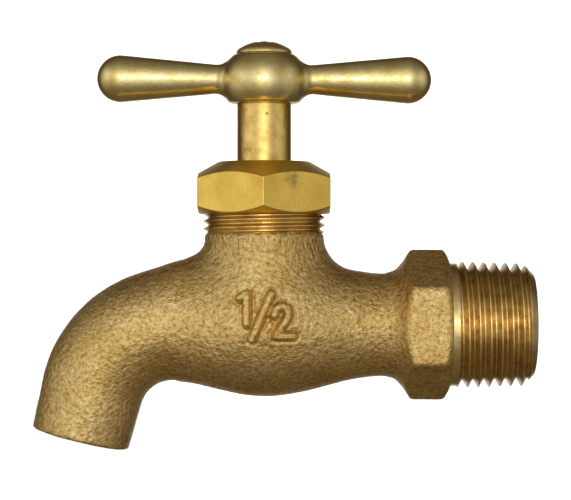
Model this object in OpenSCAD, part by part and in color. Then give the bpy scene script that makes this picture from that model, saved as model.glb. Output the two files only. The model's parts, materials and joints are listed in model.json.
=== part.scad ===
// Half-inch plain-nose hose bib: cast body, packing nut, rising stem, bibb washer and tee handle.
// Millimetres. +X points out of the inlet end, +Z points up along the stem.
// The origin is on the inlet axis at the hand-tight plane of the pipe thread.
// Shapes of the valve are drawn about the stem axis, then moved to it by on_stem().

/* [Body casting] */
// Distance from the hand-tight plane to the stem axis
stem_to_gauge = 37.3; // [36.5:0.1:38.5]
// Radius of the globe where the stem axis crosses it
globe_r = 12.1; // [11.8:0.1:12.6]
// Radius of the round waist between the globe and the hex
waist_r = 8.65; // [8.5:0.05:8.9]
// Radius of the cast neck under its thread
neck_r = 10.05; // [9.9:0.05:10.2]
// Height of the neck's top face above the inlet axis
neck_top = 24; // [23.6:0.1:24.4]

/* [Spout] */
// Radius of the spout where its bend starts
spout_r = 9.5; // [9.2:0.1:9.8]
// Radius of the centre line of the bend
bend_r = 14.75; // [14.5:0.05:15]
// How far the spout turns down, in degrees
bend_turn = 76.2; // [72:0.2:80]
// Outside radius of the straight nose
nose_r = 8.3; // [8.1:0.05:8.5]
// Length of the straight nose
nose_len = 8.3; // [7:0.1:10]
// Radius of the waterway in the spout
spout_bore_r = 6.1; // [5.6:0.1:6.3]

/* [Inlet] */
// Width across the flats of the body's hex
body_hex_af = 22.2; // [22:0.05:22.4]
// Pitch of the pipe thread, 14 to the inch
pipe_pitch = 1.814; // [1.814]
// Crest radius of the pipe thread at the hand-tight plane
pipe_crest_r = 10.52; // [10.45:0.01:10.6]
// Length of the pipe thread beyond the hand-tight plane
pipe_end = 8.13; // [8.13]
// Radius of the inlet waterway
inlet_bore_r = 6.75; // [6:0.05:7]

/* [Packing nut] */
// Width across the flats
nut_af = 22.2; // [22:0.05:22.4]
// Height of the nut's lower face
nut_z0 = 18.7; // [18.5:0.1:18.9]
// Height of the nut's top face
nut_z1 = 27.5; // [27.3:0.1:27.8]
// Pitch of the neck thread, 20 to the inch
neck_pitch = 1.27; // [1.27]
// Crest radius of the neck thread
neck_crest_r = 10.25; // [10.2:0.01:10.3]

/* [Stem] */
// Radius of the bare shank
shank_r = 4.575; // [4.5:0.005:4.6]
// Crest radius of the lifting thread
lift_crest_r = 7.6; // [7.55:0.01:7.62]
// Lead of the lifting thread, which is how far one turn lifts the stem
lift_lead = 2.54; // [2.54]
// Outside radius of the washer cup
cup_r = 6.8; // [6.7:0.05:6.9]
// Width across the flats of the square that drives the handle
square_af = 6.8; // [6.6:0.1:6.9]

/* [Seat and washer] */
// Height of the seat's lip
seat_z = 1.5; // [1.4:0.1:1.6]
// Radius of the hole in the seat
seat_hole_r = 4.75; // [4.5:0.05:4.9]
// Radius of the rubber washer
washer_r = 6.35; // [6.2:0.05:6.4]
// Thickness of the rubber washer
washer_t = 3.6; // [3.2:0.1:3.8]

/* [Tee handle] */
// Overall length across both arms
handle_len = 56.5; // [50:0.5:64]
// Radius of the round ends
knob_r = 4.0; // [3.8:0.1:4.2]
// Radius of an arm where it leaves the hub
arm_root_r = 2.48; // [2.3:0.02:2.6]
// Height of the arms' axis
arm_z = 41.4; // [41.2:0.1:41.6]
// Largest radius of the hub
hub_r = 7.4; // [7.2:0.1:7.6]

/* [Hidden] */
$fn = 72;
over = 1;                 // how far a cut runs past a face
joint_lap = 0.8;          // how far a straight stretch runs into a bend
joint_step = 0.1;         // and how much the radius steps at such a joint

// Outline of the globe, either side of the stem axis
globe_to_waist = 20.5;
globe_to_spout = 16.5;
bend_x = -14.7;
bend_axis_z = 0.15;

// Inlet, measured from the stem axis
inlet_x = stem_to_gauge + pipe_end;
waist_x = 20.6;
hex_x0 = 24.75;
hex_x1 = 31.4;
hex_corner_r = body_hex_af / 2 / cos(30);
pipe_depth = 1.25;
pipe_land = 0.3;
pipe_taper = 1 / 32;

// Neck and its thread
neck_flare_z = 14.3;
neck_thread_z = 15.6;
neck_depth = 0.75;

// Levels inside the neck, from the seat upwards
chamber_r = 8.2;
chamber_z0 = seat_z - 1;
lift_bore_z = 8.4;
lift_bore_r = lift_crest_r + 0.06;
packing_z = 19.4;
packing_bore_r = 7.95;
washer_z = seat_z + 0.1;
cup_z = washer_z + 1.6;
washer_top = washer_z + washer_t;
cup_top = 6.4;
lift_z1 = 11.5;
lift_depth = 0.75;

// Stack of rings round the stem
ring_gap = 0.1;
ring_r = packing_bore_r - ring_gap;
support_t = 1.0;
packing_t = 2.6;
gland_t = 2.0;
stem_gap = 0.045;
loose_gap = 0.15;
nut_ceiling = packing_z + support_t + packing_t + gland_t;

// Handle seat on the stem
hub_z0 = 37.35;
hub_z1 = 45.75;
hub_mid_z = 41.15;
hub_half_h = 6.2;
shoulder_z = 38.0;
stem_top = 43.3;
drive_gap = 0.05;

// Screws
screw_r = 2.05;
tapped_r = 2.12;
screw_pitch = 0.794;
screw_depth = 0.3;

module on_stem() translate([-stem_to_gauge, 0, 0]) children();

module along_x() rotate([0, 90, 0]) children();

module rod_x(r, x0, x1) translate([x0, 0, 0]) along_x() cylinder(r = r, h = x1 - x0);

module rod_z(r, z0, z1) translate([0, 0, z0]) cylinder(r = r, h = z1 - z0);

module ring_z(r_out, r_in, z0, z1) {
  difference() {
    rod_z(r_out, z0, z1);
    rod_z(r_in, z0 - over, z1 + over);
  }
}

// Points of ring-shaped ridges from z0 to z1. Each crest is a short cylinder, of radius crest at z_ref
// and larger by slope for each millimetre beyond it.
function ridges(z0, z1, pitch, crest, depth, land, slope = 0, z_ref = 0) =
  let (count = floor((z1 - z0) / pitch), flank = (pitch - 2 * land) / 2)
  [for (i = [0 : count - 1], k = [0 : 3])
    let (
      start = z0 + i * pitch,
      r = crest + slope * (start + flank + land / 2 - z_ref)
    )
    [k == 0 || k == 3 ? r - depth : r, start + [0, flank, flank + land, 2 * flank + land][k]]];

// A rod along Z with ridges; close in on the axis at both ends.
module ridged_rod(points) {
  last = len(points) - 1;
  rotate_extrude()
    polygon(concat([[0, points[0][1]]], points, [[0, points[last][1]]]));
}

function swell(u) = abs(u) >= 1 ? 0 : (1 + cos(180 * u)) / 2;

function globe(x) = x > 0
  ? waist_r + (globe_r - waist_r) * swell(x / globe_to_waist)
  : spout_r + (globe_r - spout_r) * swell(x / globe_to_spout);

// Height of the globe's surface at a distance from the stem axis, in the direction a.
function globe_height(reach, a) =
  sqrt(max(0, pow(globe(reach * cos(a)), 2) - pow(reach * sin(a), 2)));

// Skins a stack of rings that all have the same number of points.
module skin(rings) {
  n = len(rings[0]);
  m = len(rings);
  sides = [for (i = [0 : m - 2], j = [0 : n - 1], half = [0, 1])
    let (a = i * n + j, b = i * n + (j + 1) % n)
    half == 0 ? [a, b, b + n] : [a, b + n, a + n]];
  first = [for (j = [n - 1 : -1 : 0]) j];
  last = [for (j = [0 : n - 1]) (m - 1) * n + j];
  polyhedron(points = [for (r = rings, p = r) p], faces = concat(sides, [first, last]));
}

// ---- body ----

// A place on the spout's centre line: turn is in degrees from the start of the bend.
function bend_point(turn, out = 0) = [
  bend_x - (bend_r + out) * sin(turn),
  bend_axis_z - bend_r + (bend_r + out) * cos(turn)
];

module spout_bend() {
  steps = 15;
  sides = 36;
  start_r = globe(bend_x);
  skin([for (i = [-1 : steps])
    let (
      turn = max(i, 0) / steps * bend_turn,
      r = start_r + (nose_r + joint_step - start_r) * max(i, 0) / steps,
      back = i < 0 ? 3 : 0
    )
    [for (j = [0 : sides - 1])
      let (a = -360 * j / sides, p = bend_point(turn, r * cos(a)))
      [p[0] + back, r * sin(a), p[1]]]]);
}

module at_nose() {
  p = bend_point(bend_turn);
  translate([p[0], 0, p[1]]) rotate([0, 180 + 90 - bend_turn, 0]) children();
}

// The saddle where the neck runs out into the globe, wider towards the spout than at the sides.
module neck_saddle() {
  steps = 7;
  sides = 40;
  skin([for (i = [0 : steps])
    [for (j = [0 : sides - 1])
      let (
        a = 360 * j / sides,
        t = i / steps,
        reach = neck_r + 1.4 + (cos(a) < 0 ? 4 : 2.5) * pow(cos(a), 2),
        z = globe_height(reach, a),
        slope = (globe_height(reach - 0.2, a) - z) / 0.2,
        z_ctrl = min(z + slope * (reach - neck_r), neck_flare_z - 1.5),
        r = t * t * reach + (1 - t * t) * (neck_r + joint_step),
        h = t * t * z + 2 * t * (1 - t) * z_ctrl + (1 - t) * (1 - t) * neck_flare_z
      )
      [r * cos(a), r * sin(a), h]]]);
}

module globe_and_waist() {
  xs = [for (x = [bend_x : 1.4 : waist_x]) x];
  along_x() rotate_extrude()
    polygon(concat([[0, bend_x]], [for (x = xs) [globe(x), x]], [[waist_r, hex_x0], [0, hex_x0]]));
}

module body_hex() {
  intersection() {
    translate([waist_x, 0, 0]) along_x() cylinder(r = hex_corner_r, h = hex_x1 - waist_x, $fn = 6);
    along_x() rotate_extrude()
      polygon([
        [0, waist_x], [waist_r, waist_x], [9.0, 21.8], [9.7, 22.6], [10.7, 23.5],
        [13, hex_x0], [13, hex_x1 - 1.35], [10.6, hex_x1], [0, hex_x1]
      ]);
  }
}

module pipe_thread() {
  points = ridges(hex_x1, inlet_x, pipe_pitch, pipe_crest_r, pipe_depth, pipe_land, -pipe_taper, stem_to_gauge);
  intersection() {
    along_x() union() {
      ridged_rod(points);
      rod_z(pipe_crest_r - pipe_depth - 0.25, hex_x1 - over, inlet_x);
    }
    along_x() rotate_extrude()
      polygon([[0, 0], [13, 0], [13, inlet_x - 4.4], [8.4, inlet_x], [0, inlet_x]]);
  }
}

module neck_outside() {
  rod_z(neck_r, 0, neck_thread_z);
  rod_z(neck_crest_r - neck_depth, neck_thread_z - over, neck_top);
  ridged_rod(ridges(neck_thread_z, neck_top - 0.4, neck_pitch, neck_crest_r, neck_depth, 0.2));
}

// The water comes in along X, dips under the seat, rises through it and leaves over the top of the wall.
module waterway() {
  rod_x(inlet_bore_r, 12.6, inlet_x + over);
  for (y = [-3, 0, 3])
    translate([14.5, y, -3.1]) rotate([0, -90 - 13, 0]) cylinder(r = 3.1, h = 15);
  translate([0, 0, -6.2]) cylinder(r = 5, h = 2.4);
  rod_z(seat_hole_r, -6.2, seat_z + over);
  difference() {
    rod_z(chamber_r, chamber_z0, lift_bore_z);
    translate([0, 0, chamber_z0 - over])
      cylinder(r1 = seat_hole_r + 2.6, r2 = seat_hole_r + 0.9, h = seat_z - chamber_z0 + over);
  }
  rod_z(lift_bore_r, lift_bore_z - over, packing_z + over);
  rod_z(packing_bore_r, packing_z, neck_top + over);
  translate([-2, 0, 5.5]) rotate([0, -90 - 21, 0]) cylinder(r = 5, h = 11);
  translate([0, 0, bend_axis_z]) rod_x(spout_bore_r + joint_step, bend_x - joint_lap, -7.4);
  translate([bend_x, 0, bend_axis_z - bend_r]) rotate([90, 0, 0]) rotate([0, 0, 90])
    rotate_extrude(angle = bend_turn) translate([bend_r, 0]) circle(r = spout_bore_r);
  at_nose() translate([0, 0, -joint_lap])
    cylinder(r = spout_bore_r + joint_step, h = nose_len + joint_lap + over);
}

module body() color("#a8854e") on_stem() {
  difference() {
    union() {
      globe_and_waist();
      spout_bend();
      at_nose() translate([0, 0, -joint_lap]) cylinder(r = nose_r, h = nose_len + joint_lap);
      neck_saddle();
      neck_outside();
      body_hex();
      pipe_thread();
    }
    waterway();
  }
}

// ---- packing nut and the rings under it ----

module packing_nut() color("#c9a13f") on_stem() {
  corner = nut_af / 2 / cos(30);
  difference() {
    intersection() {
      translate([0, 0, nut_z0]) rotate(30) cylinder(r = corner, h = nut_z1 - nut_z0, $fn = 6);
      rotate_extrude()
        polygon([
          [0, nut_z0], [11.3, nut_z0], [corner + 0.2, nut_z0 + 1.1],
          [corner + 0.2, nut_z1 - 3.0], [7.7, nut_z1], [0, nut_z1]
        ]);
    }
    ridged_rod(concat(
      [[neck_crest_r + 0.15, nut_z0 - over]],
      [for (z = [neck_thread_z + 2 * neck_pitch : neck_pitch : nut_ceiling - 1.5], k = [0 : 3])
        [neck_crest_r + 0.15 - (k == 0 || k == 3 ? neck_depth - 0.1 : 0), z + [0, 0.45, 0.65, 1.1][k]]],
      [[neck_crest_r + 0.15, nut_ceiling - 0.4], [neck_crest_r + 0.15, nut_ceiling]]
    ));
    rod_z(shank_r + 0.2, nut_ceiling - over, nut_z1 + over);
  }
}

module packing_gland() color("#b8923e") on_stem()
  ring_z(ring_r, shank_r + loose_gap, nut_ceiling - gland_t, nut_ceiling);

module packing() color("#2f2f31") on_stem()
  ring_z(ring_r, shank_r + stem_gap, packing_z + support_t, nut_ceiling - gland_t);

module packing_washer() color("#b8923e") on_stem()
  ring_z(ring_r, shank_r + loose_gap, packing_z, packing_z + support_t);

// ---- what turns with the handle ----

module stem() color("#bf9445") on_stem() {
  difference() {
    union() {
      rod_z(cup_r, cup_z, cup_top);
      rod_z(lift_crest_r - lift_depth, cup_top - over, lift_z1 + 0.1);
      ridged_rod(ridges(cup_top, lift_z1, lift_lead, lift_crest_r, lift_depth, 0.7));
      translate([0, 0, lift_z1 + 0.1]) cylinder(r1 = lift_crest_r - lift_depth, r2 = shank_r, h = 1.1);
      rod_z(shank_r, lift_z1, shoulder_z);
      intersection() {
        rod_z(4.3, shoulder_z - over, stem_top);
        translate([-square_af / 2, -square_af / 2, 0]) cube([square_af, square_af, stem_top]);
      }
    }
    rod_z(washer_r + 0.05, cup_z - over, washer_top + 0.02);
    rod_z(tapped_r, washer_top - over, 12.4);
    rod_z(tapped_r, 34.4, stem_top + over);
  }
}

module seat_washer() color("#1c1c1d") on_stem()
  ring_z(washer_r, screw_r + 0.15, washer_z, washer_top);

module washer_screw() color("#b8923e") on_stem() {
  difference() {
    union() {
      rotate_extrude()
        polygon(concat([[0, washer_z]], [for (a = [0 : 10 : 90]) [3.6 * cos(a), washer_z - 1.7 * sin(a)]]));
      rod_z(screw_r - screw_depth, washer_z - 0.1, 11.8);
      ridged_rod(ridges(washer_z, 11.8, screw_pitch, screw_r, screw_depth, 0.1));
    }
    translate([-4, -0.5, washer_z - 1.8]) cube([8, 1, 0.9]);
  }
}

module tee_arms() {
  half = handle_len / 2;
  knob_x = half - knob_r;
  outline = concat(
    [[0, 5.4], [3.6, 6.2], [2.85, 7.1], [arm_root_r, 8.0]],
    [[arm_root_r + (knob_r - arm_root_r) * 0.98, knob_x - 0.8]],
    [for (a = [0 : 9 : 90]) [knob_r * cos(a), knob_x + knob_r * sin(a)]]
  );
  translate([0, 0, arm_z]) for (side = [0, 1])
    mirror([side, 0, 0]) along_x() rotate_extrude() polygon(outline);
}

module tee_hub() {
  low = asin((hub_z0 - hub_mid_z) / hub_half_h);
  high = asin((hub_z1 - hub_mid_z) / hub_half_h);
  steps = 20;
  arc = [for (i = [0 : steps])
    let (a = low + (high - low) * i / steps)
    [hub_r * cos(a), hub_mid_z + hub_half_h * sin(a)]];
  rotate_extrude() polygon(concat([[0, hub_z0]], arc, [[0, hub_z1]]));
}

module tee_handle() color("#c4ad6c") on_stem() {
  pocket_af = square_af + 2 * drive_gap;
  difference() {
    union() {
      tee_hub();
      tee_arms();
    }
    rod_z(shank_r + 0.08, hub_z0 - over, shoulder_z + 0.05);
    intersection() {
      rod_z(4.3 + drive_gap, hub_z0, stem_top + 0.1);
      translate([-pocket_af / 2, -pocket_af / 2, 0]) cube([pocket_af, pocket_af, stem_top + 0.1]);
    }
    rod_z(screw_r + 0.15, stem_top, hub_z1 + over);
  }
}

module handle_screw() color("#cfae55") on_stem() {
  head_r = 4.73;
  head_h = 2.2;
  dome_r = (head_r * head_r + pow(head_h - 0.35, 2)) / (2 * (head_h - 0.35));
  half = asin(head_r / dome_r);
  difference() {
    union() {
      rotate_extrude()
        polygon(concat(
          [[0, hub_z1], [head_r - 0.15, hub_z1], [head_r, hub_z1 + 0.35]],
          [for (i = [1 : 9]) let (a = half * (1 - i / 9))
            [dome_r * sin(a), hub_z1 + head_h - dome_r * (1 - cos(a))]]
        ));
      rod_z(screw_r - screw_depth, 35.2, hub_z1 + 0.1);
      ridged_rod(ridges(35.2, hub_z1, screw_pitch, screw_r, screw_depth, 0.1));
    }
    for (turn = [45, 135])
      rotate(turn) translate([-2.1, -0.45, hub_z1 + 0.75]) cube([4.2, 0.9, 2]);
  }
}

body();
packing_nut();
packing_gland();
packing();
packing_washer();
stem();
seat_washer();
washer_screw();
tee_handle();
handle_screw();
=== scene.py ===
# %% [markdown]
# # A brass hose bib, piece by piece
# A hose bib is a garden tap. Its body is one rough sand casting, and the parts that must fit or seal are cut
# smooth: the threads, the packing nut and the stem. A tumbled tee handle with its screw sits on top. The
# engineering model gives the sizes and places, and this notebook makes the surfaces that a person sees and
# touches.

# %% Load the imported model
import json
import math
import bmesh
import bpy
import numpy as np
import openvdb
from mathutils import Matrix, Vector


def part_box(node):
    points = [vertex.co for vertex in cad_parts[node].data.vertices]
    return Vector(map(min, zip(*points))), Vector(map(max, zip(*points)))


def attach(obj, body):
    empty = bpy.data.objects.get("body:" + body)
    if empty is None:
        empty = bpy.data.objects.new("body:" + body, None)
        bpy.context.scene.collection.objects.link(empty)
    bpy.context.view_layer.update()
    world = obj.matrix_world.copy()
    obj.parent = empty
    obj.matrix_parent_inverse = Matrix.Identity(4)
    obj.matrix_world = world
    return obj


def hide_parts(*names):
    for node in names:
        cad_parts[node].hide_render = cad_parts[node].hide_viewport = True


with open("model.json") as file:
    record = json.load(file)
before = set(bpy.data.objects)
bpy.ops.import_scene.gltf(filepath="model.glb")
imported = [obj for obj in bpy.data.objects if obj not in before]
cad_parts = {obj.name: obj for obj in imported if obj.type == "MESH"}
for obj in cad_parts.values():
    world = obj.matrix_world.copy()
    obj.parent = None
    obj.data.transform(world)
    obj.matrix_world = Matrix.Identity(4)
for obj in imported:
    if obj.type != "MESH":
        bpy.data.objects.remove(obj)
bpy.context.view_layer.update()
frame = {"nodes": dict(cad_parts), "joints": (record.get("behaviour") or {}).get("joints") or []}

# %% [markdown]
# ## Sizes from the engineering model
# All shapes below are drawn in millimetres about the stem's axis, where it crosses the inlet's axis, because
# that is how a valve is drawn in a workshop. The levels that pieces must meet at are read from the model and
# not typed in again, so that nothing drifts apart.

# %% The stem's axis and the levels of the nodes
MM_PER_M = 1000
hinge = next(j for j in frame["joints"] if j["name"] == "handle_turn")
STEM_X = hinge["pos_m"][0] * MM_PER_M


def levels(node):
    low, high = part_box(node)
    return [v * MM_PER_M for v in low], [v * MM_PER_M for v in high]


INLET_END = levels("body")[1][0] - STEM_X
NUT_LOW, NUT_TOP = levels("packing_nut")[0][2], levels("packing_nut")[1][2]
SCREW_HEAD_RISE = 2.2
HUB_LOW, HUB_TOP = levels("tee_handle")[0][2], levels("handle_screw")[1][2] - SCREW_HEAD_RISE
print(f"stem axis at {STEM_X:.2f} mm, inlet end {INLET_END:.2f}, nut {NUT_LOW:.2f} to {NUT_TOP:.2f}")

# %% [markdown]
# ### One way to add a piece
# A piece could be drawn about zero and its object then moved, but its pattern would move too. Here a small
# function moves the points themselves, from workshop millimetres to metres in the model's frame, so every
# object keeps its origin at zero. Turned pieces are columns of points, and one helper lists the faces between
# them.

# %% Points into place, and a new piece
def into_place(points):
    """Workshop millimetres about the stem become metres in the model's frame."""
    return (np.asarray(points, float) + (STEM_X, 0, 0)) / MM_PER_M


def faces_round(around, tall, closed=False):
    """Four-sided faces between neighbouring columns of points."""
    faces = []
    for i in range(around):
        j = (i + 1) % around
        for k in range(tall if closed else tall - 1):
            up = (k + 1) % tall
            faces.append((i * tall + k, j * tall + k, j * tall + up, i * tall + up))
    return faces


def new_object(name, data):
    made = bpy.data.objects.new(name, data)
    bpy.context.scene.collection.objects.link(made)
    return made


def show_piece(mesh, name, body, slot):
    """Puts a finished mesh in the scene, on its body."""
    piece = new_object(name, mesh)
    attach(piece, body)
    return piece


def smooth_faces(mesh):
    mesh.polygons.foreach_set("use_smooth", [True] * len(mesh.polygons))


def new_piece(name, points, faces, material, body, slot):
    """A piece from points in workshop millimetres and faces that list them."""
    mesh = bpy.data.meshes.new(name)
    mesh.from_pydata(into_place(points).tolist(), [], [tuple(int(i) for i in f) for f in faces])
    smooth_faces(mesh)
    mesh.materials.append(material)
    return show_piece(mesh, name, body, slot)


print("the two axes cross at", into_place((0, 0, 0)).tolist(), "in metres")

# %% [markdown]
# ## Shapes that melt together
# Where one cast shape runs into another there is a soft fillet. Bevelled booleans tear on such curved seams,
# and a subdivision cage hides the real radii. Here each shape is a distance field instead: a number at every
# point of a fine block that is negative inside the metal. Joining two fields with a rounded corner is one
# line, and a volume library skins the result.

# %% A block of points, and ways to join fields
def block(low, high, voxel):
    axes = [np.arange(a, b + voxel, voxel, dtype=np.float32) for a, b in zip(low, high)]
    return np.meshgrid(*axes, indexing="ij", sparse=True)


def join(a, b, fillet):
    """Both shapes as one, with a fillet of that radius in the corner between them."""
    return np.maximum(fillet, np.minimum(a, b)) - np.hypot(
        np.maximum(fillet - a, 0), np.maximum(fillet - b, 0))


def meet(a, b, edge):
    """What two shapes share, with its edge rounded."""
    return np.minimum(-edge, np.maximum(a, b)) + np.hypot(
        np.maximum(edge + a, 0), np.maximum(edge + b, 0))


def cut(a, b, edge):
    """The first shape less the second, with its edge rounded."""
    return meet(a, -b, edge)


corner = float(join(0.0, 0.0, 1.0))
print(f"a 1 mm fillet buries the corner it fills {-corner:.2f} mm deep")

# %% [markdown]
# ### From a field to a skin
# The volume library lays four-sided faces where the field crosses zero, a little unevenly. Each round below
# averages every point with its neighbours, and then slides it along the field's slope onto the true surface.
# A ball of known size shows how true that is.

# %% Skinning a field
FLATTEST = 0.2


def read_field(field, low, voxel, points):
    """The field between its grid points, mixed from the eight nearest."""
    place = (points - low) / voxel
    cell = np.clip(place.astype(int), 0, np.array(field.shape) - 2)
    part = place - cell
    total = np.zeros(len(points))
    for corner in np.ndindex(2, 2, 2):
        share = np.prod(np.where(corner, part, 1 - part), axis=1)
        total += share * field[tuple((cell + corner).T)]
    return total


def slope(field, low, voxel, points):
    steps = np.eye(3) * voxel * 0.5
    return np.stack([read_field(field, low, voxel, points + s) - read_field(field, low, voxel, points - s)
                     for s in steps], axis=1) / voxel


def skin(field, low, voxel, rounds=3):
    """Points and four-sided faces on the surface of a field."""
    grid = openvdb.FloatGrid()
    grid.copyFromArray(np.ascontiguousarray(field, np.float32))
    points, quads = grid.convertToQuads(isovalue=0.0)
    points = points.astype(float) * voxel + low
    edges = np.concatenate([quads[:, [a, (a + 1) % 4]] for a in range(4)])
    count = np.bincount(edges.ravel(), minlength=len(points))[:, None]
    for _ in range(rounds):
        near = np.zeros_like(points)
        np.add.at(near, edges[:, 0], points[edges[:, 1]])
        np.add.at(near, edges[:, 1], points[edges[:, 0]])
        points = 0.5 * points + 0.5 * near / count
        grade = slope(field, low, voxel, points)
        size = np.maximum((grade ** 2).sum(1), FLATTEST)
        points -= grade * (read_field(field, low, voxel, points) / size).clip(-voxel, voxel)[:, None]
    return points, quads


ball = np.sqrt(sum(axis * axis for axis in block((-2, -2, -2), (2, 2, 2), 0.25))) - 1.5
ball_points, _ = skin(ball, np.array([-2.0, -2.0, -2.0]), 0.25)
print(f"a ball of radius 1.5 mm comes out at {np.linalg.norm(ball_points, axis=1).mean():.3f} mm")

# %% [markdown]
# ## Node trees as plain sums
# Geometry Nodes repeat a rule over a whole mesh, and keep its sizes open to change. Their formulas are chains
# of Math nodes, hard to read as a list of links, so a small wire class writes them as ordinary sums.

# %% Wires that add, subtract and multiply
class Wire:
    """A value inside a node tree; an operator on it adds a Math node."""

    def __init__(self, tree, socket):
        self.tree, self.socket = tree, socket

    def math(self, operation, *others):
        made = self.tree.nodes.new("ShaderNodeMath")
        made.operation = operation
        for slot, value in enumerate((self, *others)):
            if isinstance(value, Wire):
                self.tree.links.new(value.socket, made.inputs[slot])
            else:
                made.inputs[slot].default_value = value
        return Wire(self.tree, made.outputs[0])

    def __add__(self, other):
        return self.math("ADD", other)

    def __sub__(self, other):
        return self.math("SUBTRACT", other)

    def __mul__(self, other):
        return self.math("MULTIPLY", other)

    def __truediv__(self, other):
        return self.math("DIVIDE", other)

    def clamp(self, low=0, high=1):
        return self.math("MAXIMUM", low).math("MINIMUM", high)


def add_node(tree, kind, **inputs):
    """A new node, with its named inputs linked to sockets or set to values."""
    made = tree.nodes.new(kind)
    for label, value in inputs.items():
        if isinstance(value, bpy.types.NodeSocket):
            tree.links.new(value, made.inputs[label])
        else:
            made.inputs[label].default_value = value
    return made


def split_axes(tree, vector):
    return [Wire(tree, part) for part in add_node(tree, "ShaderNodeSeparateXYZ", Vector=vector).outputs]


print("Math nodes can now be written as sums")

# %% [markdown]
# ## The finishes
# Brass is one metal with many faces. Sand casting leaves a matt, grainy skin with dirt in the hollows. Cut
# threads reflect like a mirror. The nut was milled from bar, and the handle tumbled. Each finish is a node
# tree that reads Object coordinates, scaled so that one unit is a millimetre, which keeps grain sizes honest
# and puts the pattern in the same place in every view.

# %% A base for every finish
def finish_tree(name, roughness, metallic=1.0):
    material = bpy.data.materials.new(name)
    material.use_nodes = True
    tree = material.node_tree
    shader = tree.nodes["Principled BSDF"]
    shader.inputs["Metallic"].default_value = metallic
    shader.inputs["Roughness"].default_value = roughness
    where = tree.nodes.new("ShaderNodeTexCoord").outputs["Object"]
    scale = add_node(tree, "ShaderNodeMapping", Scale=(MM_PER_M, MM_PER_M, MM_PER_M), Vector=where)
    return material, tree, shader, scale.outputs["Vector"]


def noise(tree, vector, scale, detail=2.0, stretch=None, roughness=0.5):
    if stretch:
        vector = add_node(tree, "ShaderNodeMapping", Scale=stretch, Vector=vector).outputs["Vector"]
    return add_node(tree, "ShaderNodeTexNoise", Scale=scale, Detail=detail, Roughness=roughness,
                    Vector=vector).outputs["Fac"]


print("one unit of every pattern is a millimetre")

# %% [markdown]
# ### Colour and relief from a pattern
# A ramp turns a pattern's values into colours, a mix lays one colour over another, and a bump tilts the light
# as if the surface were uneven. Bumps are only for grain too fine for the mesh, with depths in millimetres.

# %% Ramps, mixes and bumps
def ramp(tree, value, stops):
    """A colour ramp from (place, (r, g, b)) or (place, grey) stops."""
    made = tree.nodes.new("ShaderNodeValToRGB")
    points = made.color_ramp.elements
    while len(points) < len(stops):
        points.new(0.5)
    for point, (place, colour) in zip(points, stops):
        rgb = colour if isinstance(colour, tuple) else (colour,) * 3
        point.position, point.color = place, (*rgb, 1)
    tree.links.new(value, made.inputs["Fac"])
    return made.outputs["Color"]


def blend(tree, way, amount, a, b):
    made = tree.nodes.new("ShaderNodeMix")
    made.data_type, made.blend_type = "RGBA", way
    for socket, value in ((made.inputs[0], amount), (made.inputs[6], a), (made.inputs[7], b)):
        if isinstance(value, bpy.types.NodeSocket):
            tree.links.new(value, socket)
        elif isinstance(value, tuple):
            socket.default_value = (*value, 1)
        else:
            socket.default_value = value
    return made.outputs[2]


def bumps(tree, shader, layers):
    """Bump nodes in a chain, each a (height, depth in mm, strength)."""
    last = None
    for height, depth, strength in layers:
        made = add_node(tree, "ShaderNodeBump", Distance=depth / MM_PER_M, Strength=strength, Height=height)
        if last:
            tree.links.new(last, made.inputs["Normal"])
        last = made.outputs["Normal"]
    tree.links.new(last, shader.inputs["Normal"])


print("finishes so far:", len(bpy.data.materials))

# %% [markdown]
# ### Sand-cast brass
# The skin copies the sand that the mould was rammed from, so its grain is well under a millimetre. Hollows
# keep dark oxide and the tops of the grains are rubbed pale. One noise drives height and colour together,
# because on the real skin the dark spots are the low spots. File marks fade in on the neck, above the globe.

# %% Sand-cast brass
FILED_FROM, FILED_FADE = 8.0, 5.0


def sand_cast_brass():
    material, tree, shader, mm = finish_tree("sand-cast brass", 0.5)
    grain = noise(tree, mm, 1.5, 3.0, roughness=0.6)
    sand = noise(tree, mm, 4.6, 2.0)
    cloud = noise(tree, mm, 0.16, 3.0)
    metal = ramp(tree, grain, [(0.24, (0.32, 0.18, 0.045)), (0.42, (0.64, 0.44, 0.155)),
                               (0.58, (0.80, 0.59, 0.25)), (0.78, (0.94, 0.78, 0.45))])
    toned = ramp(tree, cloud, [(0.35, (0.84, 0.76, 0.62)), (0.62, (1.0, 1.0, 1.0))])
    colour = blend(tree, "MULTIPLY", 0.8, metal, toned)
    tree.links.new(colour, shader.inputs["Base Color"])
    tree.links.new(ramp(tree, sand, [(0.3, 0.48), (0.7, 0.33)]), shader.inputs["Roughness"])
    on_neck = ((split_axes(tree, mm)[2] - FILED_FROM) / FILED_FADE).clamp()
    file_marks = Wire(tree, noise(tree, mm, 1.7, 3.0, stretch=(1.0, 1.0, 0.28))) * on_neck
    bumps(tree, shader, [(grain, 0.34, 0.75), (sand, 0.08, 0.8), (file_marks.socket, 0.5, 0.6)])
    return material


cast_brass = sand_cast_brass()
print("finish:", cast_brass.name)

# %% [markdown]
# ### Cut and polished brass
# Machined brass shows fine tool marks that run round the axis of the cut, some toning and a few faint
# scratches. The same recipe serves every smooth piece, with its own colour, gloss and direction of marks.

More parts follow.
